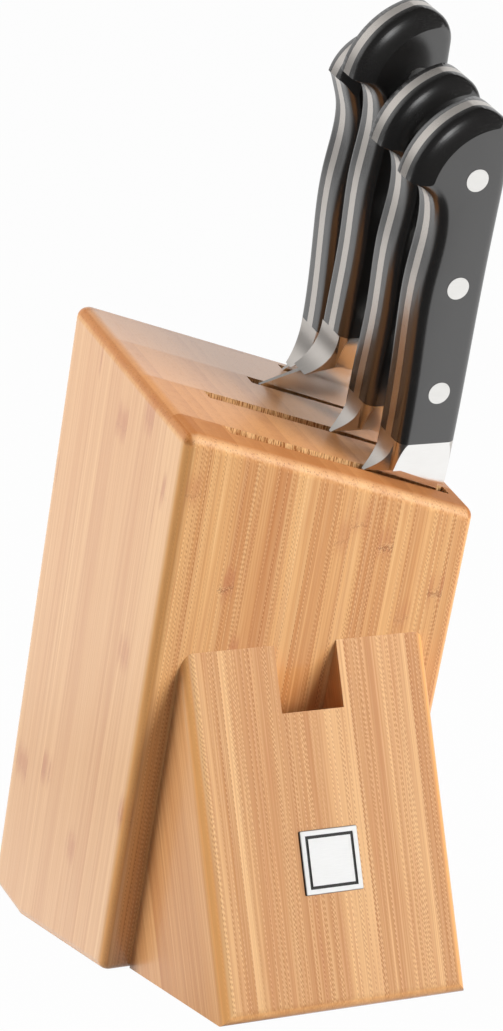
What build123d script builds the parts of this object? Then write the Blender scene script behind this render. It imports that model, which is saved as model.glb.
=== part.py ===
from build123d import *
import os
from dataclasses import dataclass
from math import cos, radians, sin, tan

os.makedirs("parts", exist_ok=True)

# Block: five glued boards that lean forwards, with a top face slanted down to the right
block_width = 108.0
board_thicknesses = [15.3, 26.2, 25.3, 20.8, 5.4]
lean = 20.5
top_slant = 18.8
base_flat = 72.7
back_cut = 15.5
edge_round = 3.8

# Slots: grooves milled in the back of each of the first four boards, open at both ends
slot_width = 4.8
slot_lengths = [82.9, 78.3, 50.4, 28.1]
slot_wall = 5.0
tip_clearance = 6.25

# Prop foot: a wedge on the front face with a pocket for shears behind its notch
foot_width = 87.0
foot_toe = 74.6
foot_apex = 122.0
pocket_width = 22.2
pocket_depth = 9.0
notch_depth = 21.9

# Bare metal plate on the foot
plate_side = 20.5
plate_corner = 0.5
plate_down = 70.1
plate_sunk = 1.0
plate_proud = 0.8
plate_edge = 0.3
plate_rim = 1.7
plate_groove = 1.0
plate_groove_depth = 0.35
plate_gap = 0.1

# Dowels that hold the foot on the front board
dowel_size = 8.0
dowel_in_board = 8.0
dowel_in_foot = 18.0
dowel_gap = 0.1
dowel_end_gap = 0.5
dowel_from_side = 11.5
dowel_heights = [28.0, 74.0]

# Rubber feet in shallow round seats
pad_size = 10.0
pad_thickness = 2.0
pad_sunk = 1.2
pad_gap = 0.1
pad_edge = 0.4
pad_from_side = 12.0
pad_from_toe = 12.6

# Handles: two riveted scales on a full tang; outline points are from the spine and the collar
grip_thickness = 16.6
tang_thickness = 3.8
grip_round = 3.6
hook_round = 3.9
dome_inset, dome_swell, dome_slope = 6.5, 1.5, 0.3
belly_low, belly_middle, belly_high = (-21.9, 32.0), (-22.6, 56.0), (-22.3, 79.0)
groove = (-24.9, 85.2)
hook_tip = (-33.0, 89.9)
butt_middle = (-26.8, 104.6)
butt_top = (-14.2, 113.4)
butt_corner = (-4.0, 110.0)
spine_top = (-0.9, 103.0)
spine_middle = (-0.7, 69.4)
hook_run, spine_run = (-1, 0.25), (0.05, -1)
rivet_count = 3
rivet_size = 7.5
rivet_first = 18.1
rivet_pitch = 36.6
rivet_inset = 10.2
rivet_lean = 0.018
rivet_proud = 0.12
rivet_gap = 0.03

# Bolsters and blades
heel_thickness = 1.2
ridge_thickness = 13.0
spine_thickness = 3.0
edge_thickness = 0.5
edge_band = 0.35
heel_sunk = 0.6
guard_lap = 1.0
straight_share = 0.45
serration_pitch = 6.0
serration_radius = 4.5
serration_depth = 0.9

# Room past a face for cuts that go right through
over = 30.0
tall = 400.0

# The origin is on the floor below the middle of the whole set
front_foot_y = 2.4
lift = pad_thickness - pad_sunk
front_foot = Vector(0, front_foot_y, lift)
half_width = block_width / 2
slot_right = half_width - slot_wall
block_depth = sum(board_thicknesses)
board_backs = [sum(board_thicknesses[: index + 1]) for index in range(len(board_thicknesses))]
up_lean = Vector(0, -sin(radians(lean)), cos(radians(lean)))
inward = Vector(0, cos(radians(lean)), sin(radians(lean)))


@dataclass
class Knife:
    """Widths are from the spine towards the heel; rises are from the slot's mouth at the heel."""

    name: str
    slot: int
    spine_gap: float
    heel_width: float
    heel_slope: float
    neck: float
    ridge_width: float
    ridge_rise: float
    collar_rise: float
    spine_drop: float
    blade_length: float
    tip_drop: float
    girth: float = 1.0
    hook: float = 1.0
    butt: float = 1.0
    serrated: bool = False

    @property
    def depth(self):
        """Depth of the blade's middle plane, in the middle of its slot."""
        return board_backs[self.slot] - slot_width / 2

    @property
    def spine(self):
        """Place of the spine across the block, a little in from the end of the slot."""
        return slot_right - self.spine_gap

    @property
    def heel(self):
        """Place of the heel across the block."""
        return self.spine - self.heel_width

    @property
    def mouth_drop(self):
        """How far the slanted top lies below its left edge at the heel."""
        return (self.heel + half_width) * tan(radians(top_slant))

    @property
    def heel_point(self):
        """Heel tip, just inside the mouth of the slot."""
        return (self.heel, front_length - self.mouth_drop - heel_sunk)

    @property
    def ridge(self):
        """Corner where the guard and the thick part of the bolster meet the blade."""
        return (self.spine - self.ridge_width, front_length - self.mouth_drop + self.ridge_rise)

    @property
    def collar(self):
        """Height of the line where the scales meet the bolster."""
        return front_length - self.mouth_drop + self.collar_rise

    def block_length(self):
        """Left front edge of a block in which this blade stops short of the floor."""
        below = self.depth * tan(radians(lean))
        return self.blade_length + tip_clearance + self.mouth_drop + heel_sunk - below

    def on_grip(self, point):
        """Place of a point of the usual handle on this knife."""
        return (self.spine + point[0] * self.girth, self.collar + point[1])

    def on_butt(self, point):
        """Place of a point of the usual butt and hook on this knife."""
        above_hook = (point[1] - hook_tip[1]) * self.butt
        return (self.spine + point[0] * self.hook, self.collar + hook_tip[1] + above_hook)


paring = Knife(
    "paring", 3, 2.5, 24.9, 0.7, 17.6, 16.0, 6.7, 15.9, -12.6, 90.0, 8.0, girth=0.88, hook=0.76, butt=0.6
)
chef = Knife("chef", 2, 1.6, 44.9, 0.29, 22.0, 21.4, 7.23, 18.63, -16.0, 200.0, 13.0)
bread = Knife("bread", 1, 1.7, 29.9, 0.9, 22.6, 19.3, 2.71, 11.91, -17.5, 180.0, 13.0, serrated=True)
carving = Knife("carving", 0, 4.7, 27.7, 0.8, 20.8, 17.6, 1.43, 11.63, -17.5, 160.0, 11.0)
knives = [paring, chef, bread, carving]
front_length = max(knife.block_length() for knife in knives)


def depth_plane(depth):
    """Plane at a depth behind the front face: x across, y up the lean, normal to the front."""
    return Plane(origin=front_foot + inward * depth, x_dir=(1, 0, 0), z_dir=-inward)


def lean_point(height, depth):
    """(y, z) from the block's front foot of a point up the lean and behind the front face."""
    spot = up_lean * height + inward * depth
    return (spot.Y, spot.Z)


def top_height(x):
    """Height up the lean at which the slanted top face stands at x."""
    return front_length - (x + half_width) * tan(radians(top_slant))


def side_plane(width):
    """Upright plane on the left side of a piece of this width, seen from the right."""
    return Plane(origin=front_foot - Vector(width / 2), x_dir=(0, 1, 0), z_dir=(1, 0, 0))


# Outer shape of the glued block, before it is divided into boards
back_top = lean_point(front_length, block_depth)
cut_rise = tan(radians(back_cut))
# The back face meets the rising back of the base where both lines cross
cross = (cut_rise * (back_top[0] - base_flat) - back_top[1]) / (
    up_lean.Z - cut_rise * up_lean.Y
)
back_bottom = lean_point(front_length + cross, block_depth)
with BuildPart() as block_shape:
    with BuildSketch(side_plane(block_width)):
        with BuildLine():
            Polyline(
                (0, 0),
                (base_flat, 0),
                back_bottom,
                back_top,
                lean_point(front_length, 0),
                close=True,
            )
        make_face()
    extrude(amount=block_width)
    with BuildSketch(depth_plane(block_depth + over)):
        with BuildLine():
            Polyline(
                (-half_width - over, top_height(-half_width - over)),
                (half_width + over, top_height(half_width + over)),
                (half_width + over, tall),
                (-half_width - over, tall),
                close=True,
            )
        make_face()
    extrude(amount=block_depth + 2 * over, mode=Mode.SUBTRACT)
    break_point = front_foot + Vector(0, base_flat)
    base_break = block_shape.edges().filter_by(Axis.X).sort_by_distance(break_point)[0]
    fillet([edge for edge in block_shape.edges() if edge != base_break], radius=edge_round)


def board_blank(index):
    """One board of the block, counted from the front, with its groove milled in the back."""
    back, front = board_backs[index], board_backs[index] - board_thicknesses[index]
    with BuildPart() as blank:
        add(block_shape.part)
        with BuildSketch(depth_plane(back)):
            Rectangle(2 * block_width, 2 * tall)
        extrude(amount=back - front, mode=Mode.INTERSECT)
        if index < len(slot_lengths):
            with BuildSketch(depth_plane(back)):
                with Locations((slot_right - slot_lengths[index] / 2, 0)):
                    Rectangle(slot_lengths[index], 2 * tall)
            extrude(amount=slot_width, mode=Mode.SUBTRACT)
    return blank.part


dowel_aside = foot_width / 2 - dowel_from_side
dowel_spots = [(side * dowel_aside, height) for side in (-1, 1) for height in dowel_heights]
# The back pads sit in the middle of the third board, the front ones behind the foot's toe
block_pad_y = (board_backs[1] + board_backs[2]) / 2 / cos(radians(lean))
block_pads = [(side * (half_width - pad_from_side), block_pad_y) for side in (-1, 1)]
foot_pads = [(side * (foot_width / 2 - pad_from_side), pad_from_toe - foot_toe) for side in (-1, 1)]
base_plane = Plane(front_foot)


def circles(plane, spots, radius):
    """Sketch of equal circles at some spots of a plane."""
    with BuildSketch(plane) as rounds:
        with Locations(*spots):
            Circle(radius)
    return rounds.sketch


dowel_holes = circles(depth_plane(0), dowel_spots, dowel_size / 2 + dowel_gap)
block_seats = circles(base_plane, block_pads, pad_size / 2 + pad_gap)
foot_seats = circles(base_plane, foot_pads, pad_size / 2 + pad_gap)


with BuildPart() as front_board:
    add(board_blank(0))
    extrude(dowel_holes, amount=-dowel_in_board, mode=Mode.SUBTRACT)
front_board.part.label = "front_board"
export_step(front_board.part, "parts/front_board.step")

with BuildPart() as second_board:
    add(board_blank(1))
second_board.part.label = "second_board"
export_step(second_board.part, "parts/second_board.step")

with BuildPart() as third_board:
    add(board_blank(2))
    extrude(block_seats, amount=pad_sunk, mode=Mode.SUBTRACT)
third_board.part.label = "third_board"
export_step(third_board.part, "parts/third_board.step")

with BuildPart() as fourth_board:
    add(board_blank(3))
fourth_board.part.label = "fourth_board"
export_step(fourth_board.part, "parts/fourth_board.step")

with BuildPart() as back_board:
    add(board_blank(4))
back_board.part.label = "back_board"
export_step(back_board.part, "parts/back_board.step")

# Prop foot
apex_y, apex_z = lean_point(foot_apex, 0)
slope = Vector(0, apex_y + foot_toe, apex_z).normalized()
slope_plane = Plane(
    origin=front_foot + Vector(0, apex_y, apex_z),
    x_dir=(1, 0, 0),
    z_dir=Vector(1, 0, 0).cross(slope),
)
with BuildPart() as prop_foot:
    with BuildSketch(side_plane(foot_width)):
        with BuildLine():
            Polyline((0, 0), (-foot_toe, 0), (apex_y, apex_z), close=True)
        make_face()
    extrude(amount=foot_width)
    slope_face = prop_foot.faces().sort_by(Axis((0, 0, 0), slope_plane.z_dir))[-1]
    apex_edge = slope_face.edges().sort_by(Axis.Z)[-1]
    fillet([edge for edge in slope_face.edges() if edge != apex_edge], radius=edge_round)
    with BuildSketch(depth_plane(0)):
        Rectangle(pocket_width, 2 * tall)
    extrude(amount=pocket_depth, mode=Mode.SUBTRACT)
    with BuildSketch(slope_plane):
        Rectangle(pocket_width, 2 * notch_depth)
    extrude(amount=-over, mode=Mode.SUBTRACT)
    with BuildSketch(slope_plane):
        with Locations((0, -plate_down)):
            RectangleRounded(
                plate_side + 2 * plate_gap, plate_side + 2 * plate_gap, plate_corner + plate_gap
            )
    extrude(amount=-plate_sunk, mode=Mode.SUBTRACT)
    extrude(dowel_holes, amount=dowel_in_foot, mode=Mode.SUBTRACT)
    extrude(foot_seats, amount=pad_sunk, mode=Mode.SUBTRACT)
prop_foot.part.label = "prop_foot"
export_step(prop_foot.part, "parts/prop_foot.step")

# Bare plate with a groove that frames it
with BuildPart() as badge_plate:
    with BuildSketch(slope_plane.offset(-plate_sunk)):
        with Locations((0, -plate_down)):
            RectangleRounded(plate_side, plate_side, plate_corner)
    extrude(amount=plate_sunk + plate_proud)
    plate_face = badge_plate.faces().sort_by(Axis((0, 0, 0), slope_plane.z_dir))[-1]
    chamfer(plate_face.edges(), length=plate_edge)
    with BuildSketch(slope_plane.offset(plate_proud)):
        with Locations((0, -plate_down)):
            Rectangle(plate_side - 2 * plate_rim, plate_side - 2 * plate_rim)
            Rectangle(
                plate_side - 2 * (plate_rim + plate_groove),
                plate_side - 2 * (plate_rim + plate_groove),
                mode=Mode.SUBTRACT,
            )
    extrude(amount=-plate_groove_depth, mode=Mode.SUBTRACT)
badge_plate.part.label = "badge_plate"
export_step(badge_plate.part, "parts/badge_plate.step")

with BuildPart() as foot_dowels:
    with BuildSketch(depth_plane(dowel_in_board - dowel_end_gap)):
        with Locations(*dowel_spots):
            Circle(dowel_size / 2)
    extrude(amount=dowel_in_board + dowel_in_foot - 2 * dowel_end_gap)
foot_dowels.part.label = "foot_dowels"
export_step(foot_dowels.part, "parts/foot_dowels.step")

with BuildPart() as rubber_feet:
    with BuildSketch(base_plane.offset(-lift)):
        with Locations(*block_pads, *foot_pads):
            Circle(pad_size / 2)
    extrude(amount=pad_thickness)
    chamfer(rubber_feet.edges().group_by(Axis.Z)[0], length=pad_edge)
rubber_feet.part.label = "rubber_feet"
export_step(rubber_feet.part, "parts/rubber_feet.step")


def butt_dome(knife, plane, round_butt):
    """Room for a handle whose butt is ground to a dome on both sides of the tang."""
    flat, tang, rim = grip_thickness / 2, tang_thickness / 2, round_butt.radius
    middle = plane.from_local_coords(round_butt.arc_center)
    low = knife.on_grip(groove)[1]
    with BuildPart() as room:
        with BuildSketch(Plane(origin=middle, x_dir=(1, 0, 0), z_dir=up_lean)):
            with BuildLine():
                Polyline((rim, tang), (rim + tang * dome_slope / 2, 0), (rim, -tang))
                SagittaArc((rim, -tang), (rim - dome_inset, -flat), -dome_swell)
                Polyline(
                    (rim - dome_inset, -flat),
                    (rim - 2 * dome_inset, -flat - dome_inset * dome_slope),
                    (0, -flat - dome_inset * dome_slope),
                    (0, flat + dome_inset * dome_slope),
                    (rim - 2 * dome_inset, flat + dome_inset * dome_slope),
                    (rim - dome_inset, flat),
                )
                SagittaArc((rim - dome_inset, flat), (rim, tang), -dome_swell)
            make_face()
        revolve(axis=Axis(middle, inward))
        with BuildSketch(plane):
            with Locations((0, low - tall / 2)):
                Rectangle(tall, tall)
        extrude(amount=grip_thickness, both=True)
    return room.part


def grip_shape(knife):
    """Whole handle with its rounded edges, run on down past the collar to shape the bolster."""
    plane = depth_plane(knife.depth)
    neck, spine = (knife.spine - knife.neck, knife.collar), (knife.spine, knife.collar)
    low_neck, low_spine = (neck[0], neck[1] - over), (spine[0], spine[1] - over)
    with BuildPart() as grip:
        with BuildSketch(plane) as outline:
            with BuildLine():
                Polyline(spine, low_spine, low_neck, neck)
                Spline(
                    neck,
                    knife.on_grip(belly_low),
                    knife.on_grip(belly_middle),
                    knife.on_grip(belly_high),
                    knife.on_grip(groove),
                    knife.on_butt(hook_tip),
                    tangents=((0, 1), hook_run),
                )
                round_butt = ThreePointArc(
                    knife.on_butt(hook_tip), knife.on_butt(butt_middle), knife.on_butt(butt_top)
                )
                ThreePointArc(
                    knife.on_butt(butt_top), knife.on_butt(butt_corner), knife.on_butt(spine_top)
                )
                Spline(
                    knife.on_butt(spine_top),
                    knife.on_grip(spine_middle),
                    spine,
                    tangents=(spine_run, (0, -1)),
                )
            make_face()
            tip = Vector(*knife.on_butt(hook_tip))
            corner = outline.vertices().sort_by_distance(plane.from_local_coords(tip))[0]
            fillet(corner, radius=hook_round)
        extrude(amount=grip_thickness / 2, both=True)
        sides = grip.faces().filter_by(plane).sort_by(Axis((0, 0, 0), inward))
        along = Axis((0, 0, 0), up_lean)
        rims = sides[0].edges().sort_by(along)[1:] + sides[-1].edges().sort_by(along)[1:]
        fillet(rims, radius=grip_round)
        add(butt_dome(knife, plane, round_butt), mode=Mode.INTERSECT)
    return grip.part


def rivet_spots(knife):
    """Centres of the rivets, on a line that leans a little off the blade's."""
    heights = [rivet_first + index * rivet_pitch for index in range(rivet_count)]
    return [
        knife.on_grip((-rivet_inset - rivet_lean * (height - rivet_first), height))
        for height in heights
    ]


def above_collar(knife, plane):
    """Sketch of all that lies above the line where the scales meet the bolster."""
    with BuildSketch(plane) as region:
        with Locations((0, knife.collar + tall / 2)):
            Rectangle(tall, tall)
    return region.sketch


def make_neck(knife, grip):
    """Thick part of the bolster: flat sides that draw in from the collar to a slanted edge."""
    plane = depth_plane(knife.depth)
    ridge_x, ridge_height = knife.ridge
    spine_height = knife.collar + knife.spine_drop
    draw = (grip_thickness - ridge_thickness) / 2 / (knife.collar - ridge_height)
    low_half = grip_thickness / 2 - draw * (knife.collar - spine_height)
    with BuildPart() as neck:
        add(grip)
        with BuildSketch(plane):
            with BuildLine():
                Polyline(
                    (knife.heel, ridge_height),
                    (ridge_x, ridge_height),
                    (knife.spine, spine_height),
                    (knife.spine + over, spine_height),
                    (knife.spine + over, knife.collar),
                    (knife.heel, knife.collar),
                    close=True,
                )
            make_face()
        extrude(amount=grip_thickness, both=True, mode=Mode.INTERSECT)
        across = Plane(origin=plane.origin, x_dir=inward, z_dir=(1, 0, 0))
        with BuildSketch(across):
            with BuildLine():
                Polyline(
                    (-grip_thickness / 2, knife.collar),
                    (grip_thickness / 2, knife.collar),
                    (low_half, spine_height),
                    (-low_half, spine_height),
                    close=True,
                )
            make_face()
        extrude(amount=block_width, both=True, mode=Mode.INTERSECT)
    return neck.part


def make_guard(knife):
    """Finger guard: sweeps from the belly out to the heel and thins towards it."""
    plane = depth_plane(knife.depth)
    ridge_x, ridge_height = knife.ridge
    belly = (knife.spine - knife.neck, knife.collar)
    inner_x = belly[0] + hook_round
    lap_x = max(inner_x, ridge_x + guard_lap)
    # The guard's lower edge runs on along the line where the blade meets the bolster
    fall = (ridge_height - knife.collar - knife.spine_drop) / (knife.spine - ridge_x)
    lap_height = ridge_height - fall * (lap_x - ridge_x)
    with BuildPart() as guard:
        with BuildSketch(plane):
            with BuildLine():
                Spline(belly, knife.heel_point, tangents=((0, -1), (-1, -knife.heel_slope)))
                Line(knife.heel_point, knife.ridge)
                Line(knife.ridge, (lap_x, lap_height))
                Line((lap_x, lap_height), (inner_x, knife.collar))
                Line((inner_x, knife.collar), belly)
            make_face()
        extrude(amount=grip_thickness, both=True)
        with BuildSketch(Plane(origin=plane.origin, x_dir=(1, 0, 0), z_dir=up_lean)):
            with BuildLine():
                Polyline(
                    (knife.heel, -heel_thickness / 2),
                    (ridge_x, -ridge_thickness / 2),
                    (ridge_x + over, -ridge_thickness / 2),
                    (ridge_x + over, ridge_thickness / 2),
                    (ridge_x, ridge_thickness / 2),
                    (knife.heel, heel_thickness / 2),
                    close=True,
                )
            make_face()
        extrude(amount=tall, mode=Mode.INTERSECT)
    return guard.part


def make_edge(knife):
    """Blade: a tapered sheet, thick along the spine and thin along the heel to tip line."""
    plane = depth_plane(knife.depth)
    heel = Vector(*knife.heel_point)
    tip = Vector(knife.spine - knife.tip_drop, heel.Y - knife.blade_length)
    edge_turn = (heel.X, heel.Y - straight_share * knife.blade_length)
    spine_turn = (knife.spine, heel.Y - straight_share * knife.blade_length)
    spine_start = (knife.spine, knife.collar + knife.spine_drop)
    along = (heel - tip).normalized()
    span = (Vector(*spine_start) - tip).cross(along).length
    band = edge_band * span
    taper = Plane(
        origin=plane.from_local_coords(tip),
        x_dir=plane.from_local_coords(tip + Vector(along.Y, -along.X)) - plane.from_local_coords(tip),
        z_dir=plane.from_local_coords(tip + along) - plane.from_local_coords(tip),
    )
    with BuildPart() as blade:
        with BuildSketch(plane):
            with BuildLine():
                Line(heel, edge_turn)
                TangentArc(edge_turn, tip, tangent=(0, -1))
                TangentArc(spine_turn, tip, tangent=(0, -1))
                Line(spine_turn, spine_start)
                Line(spine_start, knife.ridge)
                Line(knife.ridge, heel)
            make_face()
            if knife.serrated:
                count = int(straight_share * knife.blade_length / serration_pitch)
                reach = serration_radius - serration_depth
                with Locations(
                    *[
                        (heel.X - reach, heel.Y - (index + 1) * serration_pitch)
                        for index in range(count)
                    ]
                ):
                    Circle(serration_radius, mode=Mode.SUBTRACT)
        extrude(amount=spine_thickness, both=True)
        with BuildSketch(taper):
            with BuildLine():
                Polyline(
                    (-span, -edge_thickness / 2),
                    (-band, -edge_thickness / 2),
                    (span, -spine_thickness / 2),
                    (2 * span, -spine_thickness / 2),
                    (2 * span, spine_thickness / 2),
                    (span, spine_thickness / 2),
                    (-band, edge_thickness / 2),
                    (-span, edge_thickness / 2),
                    close=True,
                )
            make_face()
        extrude(amount=tall, both=True, mode=Mode.INTERSECT)
    return blade.part


def make_knife(knife):
    """Forged blade with bolster and tang, two scales and the rivets, each its own piece."""
    plane = depth_plane(knife.depth)
    grip = grip_shape(knife)
    rivet_holes = circles(plane, rivet_spots(knife), rivet_size / 2 + rivet_gap)

    with BuildPart() as blade:
        add(grip)
        extrude(
            above_collar(knife, plane), amount=tang_thickness / 2, both=True, mode=Mode.INTERSECT
        )
        extrude(rivet_holes, amount=grip_thickness, both=True, mode=Mode.SUBTRACT)
        add(make_neck(knife, grip))
        add(make_guard(knife))
        add(make_edge(knife))
    blade.part.label = knife.name + "_blade"
    export_step(blade.part, "parts/" + knife.name + "_blade.step")

    for side, turn in (("front", 1), ("back", -1)):
        with BuildPart() as scale:
            add(grip)
            extrude(
                above_collar(knife, plane.offset(turn * tang_thickness / 2)),
                amount=turn * grip_thickness,
                mode=Mode.INTERSECT,
            )
            extrude(rivet_holes, amount=grip_thickness, both=True, mode=Mode.SUBTRACT)
        scale.part.label = knife.name + "_" + side + "_scale"
        export_step(scale.part, "parts/" + knife.name + "_" + side + "_scale.step")

    with BuildPart() as rivets:
        rivet_ends = circles(plane, rivet_spots(knife), rivet_size / 2)
        extrude(rivet_ends, amount=grip_thickness / 2 + rivet_proud, both=True)
    rivets.part.label = knife.name + "_rivets"
    export_step(rivets.part, "parts/" + knife.name + "_rivets.step")


for knife in knives:
    make_knife(knife)
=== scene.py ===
"""Knife block with knives: finishes, domed butts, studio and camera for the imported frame."""

import logging
import math
from dataclasses import dataclass, field
from enum import Enum
from typing import Any, Optional, Union

import bpy
import numpy as np
from mathutils import Euler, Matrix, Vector


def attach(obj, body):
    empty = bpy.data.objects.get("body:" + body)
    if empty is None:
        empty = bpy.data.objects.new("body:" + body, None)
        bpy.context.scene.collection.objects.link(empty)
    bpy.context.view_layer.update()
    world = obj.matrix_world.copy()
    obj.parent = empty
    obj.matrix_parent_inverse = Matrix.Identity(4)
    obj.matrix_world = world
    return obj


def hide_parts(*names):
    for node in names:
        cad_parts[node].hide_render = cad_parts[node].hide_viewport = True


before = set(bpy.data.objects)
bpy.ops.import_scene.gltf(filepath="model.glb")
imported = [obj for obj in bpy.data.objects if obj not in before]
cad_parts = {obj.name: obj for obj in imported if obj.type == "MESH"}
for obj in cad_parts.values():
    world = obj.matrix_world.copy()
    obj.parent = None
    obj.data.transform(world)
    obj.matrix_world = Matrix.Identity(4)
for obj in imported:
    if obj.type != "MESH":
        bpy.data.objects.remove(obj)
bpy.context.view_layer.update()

logging.basicConfig(level=logging.INFO, format="%(message)s")
log = logging.getLogger("knife_block")

Colour = tuple[float, float, float, float]
Place = tuple[float, float, float]
Span = tuple[float, float]
Number = Union[float, "Value"]
Settings = Optional[dict[str, Any]]
Inputs = Optional[dict[Union[int, str], Any]]

WHITE: Colour = (1.0, 1.0, 1.0, 1.0)
ACROSS = Vector((1.0, 0.0, 0.0))

# Millimetres in a metre
MM = 1000.0

# Block: its lean from upright in degrees, the ways into it and up its front, and its front foot
LEAN = 20.5
INWARD = Vector((0.0, math.cos(math.radians(LEAN)), math.sin(math.radians(LEAN))))
UP_LEAN = Vector((0.0, -math.sin(math.radians(LEAN)), math.cos(math.radians(LEAN))))
FRONT_FOOT = Vector((0.0, 2.4, 0.8))

# Top of the block: its fall to the right, and its height up the front in the middle
TOP_FALL = math.tan(math.radians(18.8))
HALF_WIDTH = 54.0
LEFT_HEIGHT = 202.0
TOP_HEIGHT = LEFT_HEIGHT - HALF_WIDTH * TOP_FALL

# Foot: slope of its front face in degrees, and the top of that face
SLOPE = 15.59
FOOT_APEX = Vector((0.0, -40.33, 115.07))

# Butt of the usual handle, from the spine and the collar: three points of its arc, and its groove
HOOK_TIP = (-33.0, 89.9)
BUTT_MIDDLE = (-26.8, 104.6)
BUTT_TOP = (-14.2, 113.4)
GROOVE_RISE = 85.2


def srgb(red: int, green: int, blue: int) -> Colour:
    """Linear colour of a display colour.

    Args:
        red: Red from 0 to 255.
        green: Green from 0 to 255.
        blue: Blue from 0 to 255.

    Returns:
        The linear colour with full alpha.
    """

    def straight(part: int) -> float:
        """One channel made linear."""
        share = part / 255.0
        return share / 12.92 if share <= 0.04045 else ((share + 0.055) / 1.055) ** 2.4

    return (straight(red), straight(green), straight(blue), 1.0)


class Value:
    """A shader socket that takes part in Python arithmetic."""

    def __init__(self, graph: "Graph", socket: bpy.types.NodeSocket) -> None:
        """Keep the socket with the graph that it belongs to."""
        self.graph = graph
        self.socket = socket

    def maths(self, operation: str, *others: Number) -> "Value":
        """Add a Math node.

        Args:
            operation: Name of the Math node's operation.
            others: The operands after this one.

        Returns:
            The result of the operation.
        """
        inputs = dict(enumerate((self, *others)))
        return self.graph.value("ShaderNodeMath", {"operation": operation}, inputs)

    def reflected(self, operation: str, first: Number) -> "Value":
        """Add a Math node with this value as its second operand."""
        return self.graph.value("ShaderNodeMath", {"operation": operation}, {0: first, 1: self})

    def __add__(self, other: Number) -> "Value":
        """Sum."""
        return self.maths("ADD", other)

    def __radd__(self, other: Number) -> "Value":
        """Sum, reflected."""
        return self.maths("ADD", other)

    def __sub__(self, other: Number) -> "Value":
        """Difference."""
        return self.maths("SUBTRACT", other)

    def __rsub__(self, other: Number) -> "Value":
        """Difference, reflected."""
        return self.reflected("SUBTRACT", other)

    def __mul__(self, other: Number) -> "Value":
        """Product."""
        return self.maths("MULTIPLY", other)

    def __rmul__(self, other: Number) -> "Value":
        """Product, reflected."""
        return self.maths("MULTIPLY", other)

    def __truediv__(self, other: Number) -> "Value":
        """Quotient."""
        return self.maths("DIVIDE", other)

    def __rtruediv__(self, other: Number) -> "Value":
        """Quotient, reflected."""
        return self.reflected("DIVIDE", other)

    def __abs__(self) -> "Value":
        """Size without its sign."""
        return self.maths("ABSOLUTE")

    def floor(self) -> "Value":
        """Whole part."""
        return self.maths("FLOOR")

    def fraction(self) -> "Value":
        """Part after the whole."""
        return self.maths("FRACT")

    def wave(self) -> "Value":
        """Sine wave with a period of one, from -1 to 1."""
        return (self * math.tau).maths("SINE")

    def most(self, other: Number) -> "Value":
        """Greater of two values."""
        return self.maths("MAXIMUM", other)

    def swing(self, size: float) -> "Value":
        """Noise moved from around one half to around zero, and made this size."""
        return (self - 0.5) * size

    def rise(self, low: Number, high: Number) -> "Value":
        """Smooth step.

        Args:
            low: Value at which the step starts from 0.
            high: Value at which it reaches 1.

        Returns:
            The step, between 0 and 1.
        """
        settings = {"interpolation_type": "SMOOTHSTEP", "clamp": True}
        inputs = {"Value": self, "From Min": low, "From Max": high, "To Min": 0.0, "To Max": 1.0}
        return self.graph.value("ShaderNodeMapRange", settings, inputs)


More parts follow.
